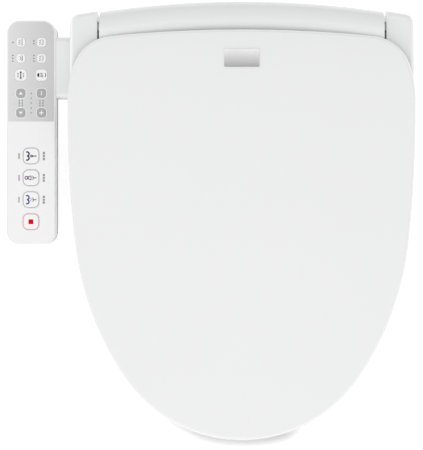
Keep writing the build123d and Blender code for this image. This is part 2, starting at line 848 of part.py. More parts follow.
with BuildPart() as wand_cradle:
    with BuildSketch(wand_section(cradle_start)):
        with Locations((0, (channel_rise - channel_out) / 2)):
            Rectangle(2 * channel_out, channel_rise + channel_out)
    extrude(amount=cradle_end - cradle_start)
    # Wall that carries the motor, beside the pinion
    with BuildSketch(rack_plane.offset(channel_half)):
        with Locations((pinion_place, pinion_up)):
            Circle(motor_plate_half)
        with Locations((pinion_place, pinion_up / 2)):
            Rectangle(2 * motor_plate_half, pinion_up)
    extrude(amount=cradle_wall)
    # Legs down to the floor in front and to the recess roof behind
    for place, foot in zip(leg_places, (floor_top, recess_roof)):
        top = wand_point(place, -channel_half - cradle_wall / 2)
        with BuildSketch(Plane.XY.offset(foot)):
            with Locations((0, top.Y)):
                Rectangle(2 * channel_half, leg_length)
        extrude(amount=top.Z - foot)
    # Channel for the wand, open above, up to the block that holds the feed tube
    with BuildSketch(wand_section(cradle_start)):
        Circle(channel_half)
        with Locations((0, channel_out)):
            Rectangle(2 * channel_half, 2 * channel_out)
    extrude(amount=cradle_end - cradle_block - cradle_start, mode=Mode.SUBTRACT)
    with BuildSketch(wand_section(cradle_start)):
        Circle(feed_radius)
    extrude(amount=cradle_end - cradle_start - cradle_wall, mode=Mode.SUBTRACT)
    with BuildSketch(rack_plane.offset(-channel_out)):
        with Locations((cradle_end - cradle_block / 2, 0)):
            Circle(hose_bore)
    extrude(amount=channel_out, mode=Mode.SUBTRACT)
    with BuildSketch(rack_plane.offset(channel_half)):
        with Locations((pinion_place, pinion_up)):
            Circle(shaft_radius + running_gap)
    extrude(amount=cradle_wall, mode=Mode.SUBTRACT)
save(wand_cradle, "wand_cradle")

feed_end = cradle_end - cradle_block
with BuildPart() as wand_feed_tube:
    with BuildSketch(wand_section(wand_tip_length)):
        Circle(feed_radius)
        Circle(feed_radius - 1, mode=Mode.SUBTRACT)
    extrude(amount=feed_end + cradle_wall - wand_tip_length)
save(wand_feed_tube, "wand_feed_tube")

block_port = wand_point(cradle_end - cradle_block / 2, 0)
hose_step = -28.0
hose_start_y = tank_back - 12.0
with BuildPart() as wand_hose:
    with BuildLine():
        feed_path = FilletPolyline((tank_right, hose_start_y, block_port.Z),
                                   (hose_step, hose_start_y, block_port.Z),
                                   (hose_step, block_port.Y, block_port.Z),
                                   (-channel_out, block_port.Y, block_port.Z), radius=hose_bend)
    with BuildSketch(Plane(origin=feed_path @ 0, z_dir=feed_path % 0)):
        Circle(hose_radius)
        Circle(hose_bore, mode=Mode.SUBTRACT)
    sweep()
save(wand_hose, "wand_hose")

rack_pitch = math.pi * gear_module
rack_lean = math.tan(math.radians(gear_pressure_angle))
rack_half = rack_pitch / 4 - gear_backlash / 4
rack_count = int((wand_length - pinion_place) / rack_pitch)
rack_start = pinion_place - rack_pitch

with BuildPart() as spray_wand:
    with BuildSketch(wand_section(wand_tip_length)):
        Circle(wand_radius)
    extrude(amount=wand_length - wand_tip_length)
    with BuildSketch(rack_plane.offset(-gear_width / 2)):
        with Locations(((rack_start + wand_length) / 2, rack_seat / 2)):
            Rectangle(wand_length - rack_start, rack_seat)
    extrude(amount=gear_width)
    with BuildSketch(rack_plane.offset(-gear_width / 2)):
        for tooth in range(-1, rack_count):
            with BuildLine():
                middle = pinion_place + (tooth + 0.5) * rack_pitch
                foot = rack_half + (pitch_line - rack_seat) * rack_lean
                head = rack_half - rack_addendum * rack_lean
                Polyline((middle - foot, rack_seat), (middle + foot, rack_seat), (middle + head, rack_top),
                         (middle - head, rack_top), close=True)
            make_face()
    extrude(amount=gear_width)
    with BuildSketch(wand_section(wand_tip_length)):
        Circle(wand_bore)
    extrude(amount=wand_length, mode=Mode.SUBTRACT)
save(spray_wand, "spray_wand")

tip_wall = 3.0
with BuildPart() as wand_tip:
    with BuildSketch(wand_section(0)):
        Circle(wand_tip_radius)
    extrude(amount=wand_tip_length)
    fillet(wand_tip.faces().sort_by(Axis.Y)[0].edges(), wand_tip_radius / 2)
    with BuildSketch(wand_section(2 * tip_wall)):
        Circle(wand_bore)
    extrude(amount=wand_tip_length, mode=Mode.SUBTRACT)
    with BuildSketch(Plane(origin=wand_point(3 * tip_wall, 0), x_dir=(1, 0, 0), z_dir=wand_up)):
        with PolarLocations(1.2 * wand_spray_radius * 2, 3):
            Circle(wand_spray_radius)
    extrude(amount=wand_tip_radius, mode=Mode.SUBTRACT)
save(wand_tip, "wand_tip")

base_radius = pitch_radius * math.cos(math.radians(gear_pressure_angle))
outer_radius = pitch_radius + gear_module
root_radius = pitch_radius - 1.25 * gear_module
base_half = math.pi / (2 * gear_teeth) - gear_backlash / (4 * pitch_radius)
base_half += rack_lean - math.radians(gear_pressure_angle)
roll_end = math.sqrt((outer_radius / base_radius) ** 2 - 1)


def flank_point(roll, hand):
    """Point of a tooth's involute flank, on a tooth that stands along X, at this roll angle."""
    reach = base_radius * math.hypot(1, roll)
    turn = hand * (base_half - roll + math.atan(roll))
    return (reach * math.cos(turn), reach * math.sin(turn))


with BuildSketch() as pinion_face:
    Circle(root_radius)
    with PolarLocations(0, gear_teeth):
        with BuildSketch(mode=Mode.PRIVATE) as tooth_face:
            with BuildLine():
                flanks = []
                for hand in (-1, 1):
                    rolls = [roll_end * step / 4 for step in range(5)]
                    flanks.append(Spline(*[flank_point(roll, hand) for roll in rolls]))
                Line(flanks[0] @ 1, flanks[1] @ 1)
                Polyline(flanks[0] @ 0, (0.8 * root_radius, 0), flanks[1] @ 0)
            make_face()
        add(tooth_face.sketch)

shaft_end = channel_out + motor_length * 0.6
with BuildPart() as wand_pinion:
    with BuildSketch(Plane(origin=rack_plane.from_local_coords((pinion_place, pinion_up, -gear_width / 2)),
                           x_dir=Vector(wand_up) * -1, z_dir=(1, 0, 0))):
        add(pinion_face.sketch)
    extrude(amount=gear_width)
    with BuildSketch(rack_plane):
        with Locations((pinion_place, pinion_up)):
            Circle(shaft_radius)
    extrude(amount=shaft_end)
save(wand_pinion, "wand_pinion")

with BuildPart() as wand_motor:
    with BuildSketch(rack_plane.offset(channel_out)):
        with Locations((pinion_place, pinion_up)):
            Circle(motor_radius)
            Circle(shaft_radius + running_gap, mode=Mode.SUBTRACT)
    extrude(amount=motor_length)
    with BuildSketch(rack_plane.offset(channel_out + motor_length * 0.75)):
        with Locations((pinion_place, pinion_up)):
            Circle(shaft_radius + running_gap)
    extrude(amount=motor_length / 4)
save(wand_motor, "wand_motor")


# Dryer: scroll casing, motor, impeller, duct and the flap that hangs in the outlet

scroll_mouth_y = blower_y - blower_radius - 4.0
scroll_mouth_height = 13.0
scroll_low = blower_z - blower_radius
scroll_foot_half = 8.0
inlet_eye_radius = 9.0
blower_shaft_radius = 1.5
blower_motor_radius = 12.0
blower_motor_length = 20.0
blower_end = blower_x + blower_width

with BuildPart() as blower_scroll:
    with BuildSketch(Plane.YZ.offset(blower_x)):
        with Locations((blower_y, blower_z)):
            Circle(blower_radius)
        with Locations(((scroll_mouth_y + blower_y) / 2, scroll_low + scroll_mouth_height / 2)):
            Rectangle(blower_y - scroll_mouth_y, scroll_mouth_height)
    extrude(amount=blower_width)
    with BuildSketch(Plane.XY.offset(recess_roof)):
        with Locations((flap_x, -recess_front + scroll_foot_half)):
            Rectangle(blower_width, 2 * scroll_foot_half)
    extrude(amount=blower_z - recess_roof)
    with BuildSketch(Plane.YZ.offset(blower_x + blower_wall)):
        with Locations((blower_y, blower_z)):
            Circle(blower_radius - blower_wall)
        with Locations((blower_y - blower_radius, scroll_low + scroll_mouth_height / 2)):
            Rectangle(2 * blower_radius, scroll_mouth_height - 2 * blower_wall)
    extrude(amount=blower_width - 2 * blower_wall, mode=Mode.SUBTRACT)
    with BuildSketch(Plane.YZ.offset(blower_x)):
        with Locations((blower_y, blower_z)):
            Circle(inlet_eye_radius)
    extrude(amount=blower_wall, mode=Mode.SUBTRACT)
    with BuildSketch(Plane.YZ.offset(blower_x)):
        with Locations((blower_y, blower_z)):
            Circle(blower_shaft_radius + running_gap)
    extrude(amount=blower_width, mode=Mode.SUBTRACT)
save(blower_scroll, "blower_scroll")

with BuildPart() as blower_motor:
    with BuildSketch(Plane.YZ.offset(blower_end)):
        with Locations((blower_y, blower_z)):
            Circle(blower_motor_radius)
    extrude(amount=blower_motor_length)
    with BuildSketch(Plane.YZ.offset(blower_end)):
        with Locations((blower_y, blower_z)):
            Circle(blower_shaft_radius + running_gap)
    extrude(amount=blower_motor_length / 2, mode=Mode.SUBTRACT)
save(blower_motor, "blower_motor")

blade_thickness = 1.0
blade_root = 9.0
blade_lean = 35.0
wheel_plate = 1.4
wheel_gap = 1.5
wheel_start = blower_x + blower_wall + wheel_gap
wheel_width = blower_width - 2 * blower_wall - 2 * wheel_gap
with BuildPart() as blower_impeller:
    with BuildSketch(Plane.YZ.offset(wheel_start + wheel_width - wheel_plate)):
        with Locations((blower_y, blower_z)):
            Circle(impeller_radius)
    extrude(amount=wheel_plate)
    with BuildSketch(Plane.YZ.offset(wheel_start)):
        with Locations((blower_y, blower_z)):
            with PolarLocations((blade_root + impeller_radius) / 2 - blade_thickness, impeller_blades):
                Rectangle(impeller_radius - blade_root, blade_thickness, rotation=blade_lean)
    extrude(amount=wheel_width - wheel_plate)
    with BuildSketch(Plane.YZ.offset(wheel_start + wheel_width / 2)):
        with Locations((blower_y, blower_z)):
            Circle(2 * blower_shaft_radius)
    extrude(amount=wheel_width / 2)
    with BuildSketch(Plane.YZ.offset(wheel_start + wheel_width / 2)):
        with Locations((blower_y, blower_z)):
            Circle(blower_shaft_radius)
    extrude(amount=blower_end - wheel_start - wheel_width / 2 + blower_motor_length / 2 - seam_gap)
save(blower_impeller, "blower_impeller")

duct_end = -snout_front + house_wall
duct_wall = 1.2
duct_lap = duct_wall + seam_gap


def duct_block(inset):
    with BuildPart() as block:
        with BuildSketch(Plane.XZ.offset(-scroll_mouth_y)):
            with Locations((flap_x, scroll_low + scroll_mouth_height / 2)):
                Rectangle(blower_width - 2 * inset, scroll_mouth_height - 2 * inset)
        with BuildSketch(Plane.XZ.offset(-duct_end)):
            with Locations((flap_x, (flap_bottom + flap_top) / 2)):
                Rectangle(flap_width + 2 * (duct_lap - inset), flap_height + 2 * (duct_lap - inset))
        loft()
    return block.part


with BuildPart() as dryer_duct:
    add(duct_block(0))
    add(duct_block(duct_wall), mode=Mode.SUBTRACT)
save(dryer_duct, "dryer_duct")

with BuildPart() as dryer_flap:
    with BuildSketch(Plane.YZ.offset(flap_x - flap_width / 2)):
        with Locations((flap_pin_y, (flap_bottom + flap_pin_z) / 2)):
            Rectangle(flap_thickness, flap_pin_z - flap_bottom)
        with Locations((flap_pin_y, flap_pin_z)):
            Circle(flap_thickness / 2)
    extrude(amount=flap_width)
    with Locations((flap_x, flap_pin_y, flap_pin_z)):
        Cylinder(flap_pin_radius, flap_width + 2 * house_wall, rotation=(0, 90, 0))
save(dryer_flap, "dryer_flap")


# Main circuit board with its larger components, and the gland where the mains cord comes in

board_thickness = 1.6
board_x = (board_left + board_right) / 2
board_y = (board_front + board_back) / 2
component_base = board_height + board_thickness
transformer_x = board_right - 30.0
transformer_y = board_back - 17.5
relay_x = board_left + 20.0
component_step = 11.0
capacitor_spots = [(board_x - 6.0, board_y + hand * component_step) for hand in (-1, 1)]
relay_spots = [(relay_x, board_y + hand * component_step) for hand in (-1, 1)]
with BuildPart() as main_board:
    with BuildSketch(Plane.XY.offset(board_height)):
        with Locations((board_x, board_y)):
            Rectangle(board_right - board_left, board_back - board_front)
    extrude(amount=board_thickness)
    with BuildSketch(Plane.XY.offset(component_base)):
        with Locations((transformer_x, transformer_y)):
            RectangleRounded(34.0, 28.0, 3.0)
    extrude(amount=26.0)
    with BuildSketch(Plane.XY.offset(component_base)):
        with Locations(*capacitor_spots):
            Circle(8.0)
    extrude(amount=24.0)
    with BuildSketch(Plane.XY.offset(component_base)):
        with Locations(*relay_spots):
            Rectangle(22.0, 14.0)
    extrude(amount=16.0)
save(main_board, "main_board")

cord_bore = 3.7
gland_end = spigot_end + 4.0
with BuildPart() as cord_gland:
    with BuildSketch(Plane.XY.offset(pocket_roof)):
        with Locations((-inlet_x, inlet_y)):
            Circle(flange_radius)
    extrude(amount=flange_thickness)
    with BuildSketch(Plane.XY.offset(pocket_roof)):
        with Locations((-inlet_x, inlet_y)):
            Circle(inlet_radius)
    extrude(amount=gland_end - pocket_roof, taper=6)
    with BuildSketch(Plane.XY.offset(gland_end)):
        with Locations((-inlet_x, inlet_y)):
            Circle(cord_bore)
    extrude(amount=pocket_roof, mode=Mode.SUBTRACT)
save(cord_gland, "cord_gland")


# Control panel: a frame whose Z stands square to its sloping top

panel_tilt = math.radians(panel_slope)
panel_top = Plane(origin=(panel_center_x, panel_center_y, panel_height), x_dir=(1, 0, 0),
                  z_dir=(0, -math.sin(panel_tilt), math.cos(panel_tilt)))
panel_right = panel_center_x + panel_width / 2
house_left = -house_width / 2
film_half = panel_length / 2 - film_inset
film_corner = panel_corner - film_inset
split_y = panel_length * (0.5 - film_split_share)

# Key centres and sizes, as shares of the panel's length from its rear end towards the front
row_shares = {"one": 0.0990, "two": 0.1702, "three": 0.2453, "four": 0.3261, "five": 0.4131}
large_shares = {"first": 0.6053, "second": 0.7023, "third": 0.7994, "stop": 0.8975}
row_y = {row: panel_length * (0.5 - share) for row, share in row_shares.items()}
large_y = {name: panel_length * (0.5 - share) for name, share in large_shares.items()}
keys = {}
for row, y in row_y.items():
    size = medium_key_size if row == "three" else small_key_size
    for side, hand in (("left", -1), ("right", 1)):
        keys[f"key_row_{row}_{side}"] = (hand * key_pair_offset, y, size)
for name, y in large_y.items():
    keys[f"key_{name}"] = (0.0, y, large_key_size)

# Small status lamps: dots beside the first two rows, a level row, and bars beside the large keys
lamp_radius = 0.8
lamp_step = 3.4
lamp_left = -22.0
lamp_middle = 3.2
bar_x = -14.4
bar_length = 7.0
bar_width = 1.8
level_count = 5
lamp_dots = [(lamp_left, row_y["one"])]
lamp_dots += [(lamp_middle, row_y["one"] + hand * lamp_step / 2) for hand in (-1, 1)]
for step in (-1, 0, 1):
    lamp_dots += [(x, row_y["two"] + step * lamp_step) for x in (lamp_left, lamp_middle)]
level_step = (row_y["five"] - row_y["four"]) / (level_count - 1)
lamp_dots += [(0.0, row_y["four"] + step * level_step) for step in range(level_count)]
lamp_bars = [(bar_x, large_y[name]) for name in ("first", "second", "third")]


def key_windows(gap):
    """Openings for every key, grown by gap, and for every lamp."""
    with BuildSketch() as windows:
        for x, y, size in keys.values():
            with Locations((x, y)):
                RectangleRounded(size + 2 * gap, size + 2 * gap, size / 3 + gap)
        with Locations(*lamp_dots):
            Circle(lamp_radius)
        with Locations(*lamp_bars):
            Rectangle(bar_width, bar_length)
    return windows.sketch


panel_windows = key_windows(key_gap)

with BuildPart() as panel_upper_shell:
    with BuildSketch(panel_top):
        RectangleRounded(panel_width, panel_length, panel_corner)
    extrude(amount=-panel_upper_depth)
    fillet(panel_upper_shell.faces().sort_by(Axis.Z)[-1].edges(), film_inset - seam_gap)
    with BuildSketch(panel_top.offset(-panel_wall)):
        RectangleRounded(panel_width - 2 * panel_wall, panel_length - 2 * panel_wall,
                         panel_corner - panel_wall)
    extrude(amount=-panel_upper_depth, mode=Mode.SUBTRACT)
    with BuildSketch(panel_top.offset(-film_thickness)):
        RectangleRounded(panel_width - 2 * film_inset, 2 * film_half, film_corner)
    extrude(amount=film_thickness, mode=Mode.SUBTRACT)
    with BuildSketch(panel_top.offset(-panel_wall)):
        add(panel_windows)
    extrude(amount=2 * panel_wall, mode=Mode.SUBTRACT)
save(panel_upper_shell, "panel_upper_shell")

film_spans = {"upper_keypad_film": (split_y, panel_length), "lower_keypad_film": (-panel_length, split_y)}
for label, (low, high) in film_spans.items():
    with BuildPart() as film:
        with BuildSketch(panel_top.offset(-film_thickness)):
            RectangleRounded(panel_width - 2 * film_inset, 2 * film_half, film_corner)
            with Locations((0, (low + high) / 2)):
                Rectangle(panel_width, high - low, mode=Mode.INTERSECT)
            add(panel_windows, mode=Mode.SUBTRACT)
        extrude(amount=film_thickness)
    save(film, label)

board_low = -10.4
board_rise = 1.6
dome_radius = 2.0
key_foot = -6.5
board_margin = 5.0
post_radius = 2.5
post_x = panel_width / 2 - 10.0
post_y = panel_length / 2 - 20.0
with BuildPart() as panel_lower_shell:
    with BuildSketch(panel_top.offset(-panel_upper_depth)):
        RectangleRounded(panel_width, panel_length, panel_corner)
    extrude(amount=panel_upper_depth - panel_depth)
    fillet(panel_lower_shell.faces().sort_by(Axis.Z)[0].edges(), panel_edge_radius)
    with BuildSketch(panel_top.offset(-panel_depth + panel_wall)):
        RectangleRounded(panel_width - 2 * panel_wall, panel_length - 2 * panel_wall,
                         panel_corner - panel_wall)
    extrude(amount=panel_depth, mode=Mode.SUBTRACT)
    with BuildSketch(panel_top.offset(-panel_depth + panel_wall)):
        with GridLocations(2 * post_x, 2 * post_y, 2, 2):
            Circle(post_radius)
    extrude(amount=panel_depth - panel_wall + board_low)
save(panel_lower_shell, "panel_lower_shell")

with BuildPart() as panel_board:
    with BuildSketch(panel_top.offset(board_low)):
        RectangleRounded(panel_width - 2 * board_margin, panel_length - 2 * board_margin,
                         panel_corner - board_margin)
    extrude(amount=board_rise)
    with BuildSketch(panel_top.offset(board_low + board_rise)):
        with Locations(*[(x, y) for x, y, size in keys.values()]):
            Circle(dome_radius)
    extrude(amount=key_foot - key_travel - seam_gap / 2 - board_low - board_rise)
save(panel_board, "panel_board")

with BuildPart() as status_lamps:
    with BuildSketch(panel_top.offset(-panel_wall)):
        with Locations(*lamp_dots):
            Circle(lamp_radius - running_gap)
        with Locations(*lamp_bars):
            Rectangle(bar_width - 2 * running_gap, bar_length - 2 * running_gap)
    extrude(amount=panel_wall)
save(status_lamps, "status_lamps")

key_stem = 4.0
for label, (x, y, size) in keys.items():
    with BuildPart() as key_cap:
        with BuildSketch(panel_top.offset(key_rise)):
            with Locations((x, y)):
                RectangleRounded(size, size, size / 3)
        extrude(amount=-key_rise - panel_wall - running_gap)
        fillet(key_cap.faces().sort_by(Axis.Z)[-1].edges(), key_rise / 2)
        with BuildSketch(panel_top.offset(-panel_wall - running_gap)):
            with Locations((x, y)):
                RectangleRounded(size + 2 * key_flange, size + 2 * key_flange, size / 3 + key_flange)
        extrude(amount=-key_flange)
        with BuildSketch(panel_top.offset(key_foot)):
            with Locations((x, y)):
                Rectangle(key_stem, key_stem)
        extrude(amount=-key_foot - panel_wall)
    save(key_cap, label)

# Arm from the panel to the housing, with the panel's slope
arm_round = 7.0
arm_middle = panel_top.from_local_coords((0, panel_length / 2 - arm_inset - arm_length / 2, -panel_depth / 2))
with BuildPart() as panel_arm:
    with BuildSketch(Plane.YZ.offset(panel_right)):
        with Locations((arm_middle.Y, arm_middle.Z)):
            RectangleRounded(arm_length, arm_depth, arm_round, rotation=panel_slope)
    extrude(amount=house_left - panel_right)
save(panel_arm, "panel_arm")


# Seat ring: upper shell with hinge arms, lower shell, heater foil and bumpers

def sloping(height, slope, shift):
    """Plane through the seat's rear edge at this height, falling to the front, moved up by shift."""
    tilt = math.radians(slope)
    square = (0, -math.sin(tilt), math.cos(tilt))
    return Plane(origin=(0, -seat_back, height), x_dir=(1, 0, 0), z_dir=square).offset(shift)


def ring_plan(inset):
    """Seat outline with its egg-shaped opening; the ring's walls are moved into its material by inset."""
    with BuildSketch() as plan:
        add(lid_plan(seat_inset + inset))
        with Locations((0, -seat_back - inset - lid_nose)):
            Rectangle(2 * lid_width, 2 * lid_nose, mode=Mode.INTERSECT)
        fillet(plan.vertices().sort_by(Axis.Y)[-2:], seat_corner - min(inset, seat_wall))
        with Locations((0, -opening_center)):
            Ellipse(opening_width / 2 + inset, opening_length / 2 + inset, mode=Mode.SUBTRACT)
    return plan.sketch


def ring_block(inset):
    with BuildPart() as block:
        with BuildSketch():
            add(ring_plan(inset))
        extrude(amount=2 * lid_back_height)
        split(bisect_by=sloping(seat_back_height, seat_top_slope, -inset), keep=Keep.BOTTOM)
        split(bisect_by=sloping(seat_under_height, seat_under_slope, -inset), keep=Keep.TOP)
        crown = block.faces().sort_by(SortBy.AREA)[-2:].sort_by(Axis.Z)[-1]
        fillet(crown.outer_wire().edges(), seat_outer_round - inset)
        crown = block.faces().sort_by(SortBy.AREA)[-2:].sort_by(Axis.Z)[-1]
        fillet(crown.inner_wires()[0].edges(), seat_inner_round - inset)
    return block.part


seat_arm_root = -seat_back - seat_wall / 2
seat_arm_points = [
    (hinge_y, hinge_z + 9.0),
    (-seat_back + 13.0, seat_back_height + 3.5),
    (seat_arm_root, seat_back_height - seat_outer_round + 6.0),
    (seat_arm_root, seat_back_height - 22.0),
    (-seat_back + 21.0, seat_back_height - 16.0),
    (hinge_y - cover_radius, hinge_z - 10.0),
    (hinge_y - 3.0, hinge_z - 6.0),
]
with BuildPart() as seat_upper_shell:
    add(ring_block(0))
    add(ring_block(seat_wall), mode=Mode.SUBTRACT)
    with BuildSketch(Plane.YZ.offset(arm_inside)):
        with BuildLine():
            Polyline(*seat_arm_points, close=True)
        make_face()
        with Locations((hinge_y, hinge_z)):
            Circle(arm_boss_radius)
        with Locations((hinge_y, hinge_z)):
            Circle(hinge_pin_radius + running_gap, mode=Mode.SUBTRACT)
    extrude(amount=arm_width)
    with BuildSketch(Plane.YZ.offset(-arm_inside)):
        with BuildLine():
            Polyline(*seat_arm_points, close=True)
        make_face()
        with Locations((hinge_y, hinge_z)):
            Circle(arm_boss_radius)
        with Locations((hinge_y, hinge_z)):
            Circle(hinge_pin_radius + running_gap, mode=Mode.SUBTRACT)
    extrude(amount=-arm_width)
save(seat_upper_shell, "seat_upper_shell")

with BuildPart() as seat_lower_shell:
    with BuildSketch():
        add(ring_plan(seat_wall + seam_gap))
    extrude(amount=lid_back_height)
    split(bisect_by=sloping(seat_under_height, seat_under_slope, 0), keep=Keep.TOP)
    split(bisect_by=sloping(seat_under_height, seat_under_slope, seat_wall), keep=Keep.BOTTOM)
save(seat_lower_shell, "seat_lower_shell")

with BuildPart() as seat_heater:
    with BuildSketch():
        add(ring_plan(heater_inset))
    extrude(amount=lid_back_height)
    split(bisect_by=sloping(seat_back_height, seat_top_slope, -seat_wall), keep=Keep.BOTTOM)
    split(bisect_by=sloping(seat_back_height, seat_top_slope, -seat_wall - heater_thickness), keep=Keep.TOP)
save(seat_heater, "seat_heater")

bumper_length = 28.0
bumper_width = 12.0
seat_bumper_spots = [(150.0, -190.0), (-150.0, -190.0), (85.0, -415.0), (-85.0, -415.0)]
with BuildPart() as seat_bumpers:
    with BuildSketch():
        with Locations(*seat_bumper_spots):
            SlotOverall(bumper_length, bumper_width, rotation=90)
    extrude(amount=lid_back_height)
    split(bisect_by=sloping(seat_under_height, seat_under_slope, 0), keep=Keep.BOTTOM)
save(seat_bumpers, "seat_bumpers")


# Lid fittings: a bare badge plate on the crown and bumpers that meet the seat

badge_width = 41.0
badge_length = 21.0
badge_rise = 0.8
badge_y = -36.0
badge_corner = 1.0
with BuildPart() as lid_badge_plate:
    with BuildSketch():
        with Locations((0, badge_y)):
            RectangleRounded(badge_width, badge_length, badge_corner)
    extrude(amount=2 * lid_back_height)
    add(crowned_block(-badge_rise), mode=Mode.INTERSECT)
    add(crowned_block(0), mode=Mode.SUBTRACT)
save(lid_badge_plate, "lid_badge_plate")

lid_bumper_spots = [(150.0, -250.0), (-150.0, -250.0), (90.0, -425.0), (-90.0, -425.0)]
with BuildPart() as lid_bumpers:
    with BuildSketch():
        with Locations(*lid_bumper_spots):
            SlotOverall(bumper_length, bumper_width, rotation=90)
    extrude(amount=2 * lid_back_height)
    add(lid_core, mode=Mode.INTERSECT)
    split(bisect_by=sloping(seat_back_height, seat_top_slope, seam_gap), keep=Keep.TOP)
save(lid_bumpers, "lid_bumpers")
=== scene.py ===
import math
import bmesh
import bpy
from mathutils import Matrix, Vector


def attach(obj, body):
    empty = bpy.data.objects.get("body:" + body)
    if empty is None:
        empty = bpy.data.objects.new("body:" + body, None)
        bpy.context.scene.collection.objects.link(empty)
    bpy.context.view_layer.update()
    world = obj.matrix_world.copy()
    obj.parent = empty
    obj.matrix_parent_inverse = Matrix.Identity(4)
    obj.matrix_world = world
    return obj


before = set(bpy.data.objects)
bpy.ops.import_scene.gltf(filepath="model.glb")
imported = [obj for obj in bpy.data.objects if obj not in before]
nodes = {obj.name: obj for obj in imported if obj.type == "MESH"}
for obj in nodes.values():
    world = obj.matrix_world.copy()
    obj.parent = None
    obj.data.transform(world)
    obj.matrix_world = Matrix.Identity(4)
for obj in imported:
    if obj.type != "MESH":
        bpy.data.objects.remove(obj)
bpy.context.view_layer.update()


# Camera
# The photograph looks down on the closed seat from in front, about ten degrees off plumb, through a long lens.
# The seat lies a little right of the picture's middle, which the small shift gives.
picture_height = 450
shift_across, shift_up = -30.3, -4.0
looked_at = Vector((0.0, -0.217, 0.061))
distance = 1.785
tilt = math.radians(80.0)
camera = bpy.data.objects.new("camera", bpy.data.cameras.new("camera"))
bpy.context.scene.collection.objects.link(camera)
camera.data.lens = 118.9
camera.data.shift_x = shift_across / picture_height
camera.data.shift_y = shift_up / picture_height
camera.data.clip_end = 20.0
camera.location = looked_at + distance * Vector((0.0, -math.cos(tilt), math.sin(tilt)))
camera.rotation_euler = (looked_at - camera.location).to_track_quat("-Z", "Y").to_euler()
bpy.context.scene.camera = camera
bpy.context.scene.view_settings.view_transform = "Standard"


# Studio
# A white sweep under the seat and a pale room around it, lit by a broad overhead panel.
# The room is brighter in front, at the left and along the horizon, so that the rims catch its light.
def add_node(shader, kind, values=(), operation=None):
    """A node in a shader, with the values of its own inputs."""
    node = shader.nodes.new("ShaderNode" + kind)
    if operation:
        node.operation = operation
    for place, value in dict(values).items():
        node.inputs[place].default_value = value
    return node


def combined(shader, operation, first, second):
    """Two values of a shader brought together into one."""
    node = add_node(shader, "Math", operation=operation)
    shader.links.new(first, node.inputs[0])
    shader.links.new(second, node.inputs[1])
    return node.outputs[0]


floor_size, floor_drop = 8.0, 0.0005
paper_white = (0.84, 0.84, 0.84, 1.0)
plain_white = (1.0, 1.0, 1.0, 1.0)
least_lift, full_lift = 0.03, 0.60
# Middle of the circle that bounds the painted shadow ahead of the nose.
painted_shadow_middle = (0.005, -0.25, 0.0)
near_floor = 0.12
bpy.ops.mesh.primitive_plane_add(size=floor_size, location=(0.0, 0.0, -floor_drop))
floor = bpy.context.object
floor.name = "studio_floor"
studio_white = bpy.data.materials.new("studio_white")
studio_white.use_nodes = True
shader = studio_white.node_tree
shader.nodes.clear()
link = shader.links.new
paper = add_node(shader, "BsdfDiffuse", {"Color": paper_white})
lift = add_node(shader, "Emission", {"Color": plain_white})
ray = add_node(shader, "LightPath").outputs
seen = combined(shader, "MAXIMUM", ray["Is Camera Ray"], ray["Is Glossy Ray"])
seen = combined(shader, "MAXIMUM", seen, ray["Is Transmission Ray"])
spot = add_node(shader, "TexCoord").outputs["Object"]
place = add_node(shader, "SeparateXYZ")
reach = add_node(shader, "VectorMath", {1: painted_shadow_middle}, "DISTANCE")
above = add_node(shader, "AmbientOcclusion", {"Distance": near_floor})
link(spot, place.inputs[0])
link(spot, reach.inputs[0])

# The floor is brightened to white where it is seen, but little in a zone ahead of the nose: a painted shadow of set
# shape, which the seat's real shadow deepens.
# Each edge of that zone has the value where the floor is still shaded and the one where it is white.
painted_shadow_edges = (
    (place.outputs["X"], 0.045, 0.095),  # to the right
    (place.outputs["X"], -0.030, -0.140),  # to the left
    (reach.outputs["Value"], 0.2225, 0.2445),  # out from the nose
    (place.outputs["Y"], -0.45, -0.42),  # back under the seat
    (above.outputs["AO"], 0.94, 1.0),  # where nothing stands near the floor
)
whiteness = None
for source, shaded, clear in painted_shadow_edges:
    edge = add_node(shader, "MapRange", {"From Min": shaded, "From Max": clear})
    edge.interpolation_type = "SMOOTHSTEP"
    link(source, edge.inputs["Value"])
    step = edge.outputs["Result"]
    whiteness = combined(shader, "ADD", whiteness, step) if whiteness else step
share = add_node(shader, "MapRange", {"To Min": least_lift, "To Max": full_lift})
both = add_node(shader, "AddShader")
link(whiteness, share.inputs["Value"])
link(combined(shader, "MULTIPLY", seen, share.outputs["Result"]), lift.inputs["Strength"])
link(paper.outputs[0], both.inputs[0])
link(lift.outputs[0], both.inputs[1])
link(both.outputs[0], add_node(shader, "OutputMaterial").inputs["Surface"])
floor.data.materials.append(studio_white)

brighter_way = (-0.12, -0.28, 0.0)
horizon_level, zenith_level = 1.04, 0.68
world = bpy.data.worlds.new("pale_room")
world.use_nodes = True
bpy.context.scene.world = world
shader = world.node_tree
link = shader.links.new
backdrop = shader.nodes["Background"]
backdrop.inputs["Color"].default_value = plain_white
around = add_node(shader, "TexCoord").outputs["Generated"]
toward = add_node(shader, "VectorMath", {1: brighter_way}, "DOT_PRODUCT")
place = add_node(shader, "SeparateXYZ")
fade = add_node(shader, "MapRange", {"To Min": horizon_level, "To Max": zenith_level})
level = add_node(shader, "Math", operation="MULTIPLY_ADD")
link(around, toward.inputs[0])
link(around, place.inputs[0])
link(place.outputs["Z"], fade.inputs["Value"])
link(toward.outputs["Value"], level.inputs[0])
link(fade.outputs["Result"], level.inputs[1])
link(fade.outputs["Result"], level.inputs[2])
link(level.outputs[0], backdrop.inputs["Strength"])

lit_spot = Vector((0.0, -0.33, 0.09))
lamp = bpy.data.lights.new("overhead_panel", "AREA")
lamp.shape = "RECTANGLE"
lamp.size, lamp.size_y = 3.0, 2.6
lamp.energy = 13.0
overhead = bpy.data.objects.new("overhead_panel", lamp)
bpy.context.scene.collection.objects.link(overhead)
overhead.location = Vector((0.0, -1.1, 2.6))
overhead.rotation_euler = (lit_spot - overhead.location).to_track_quat("-Z", "Y").to_euler()


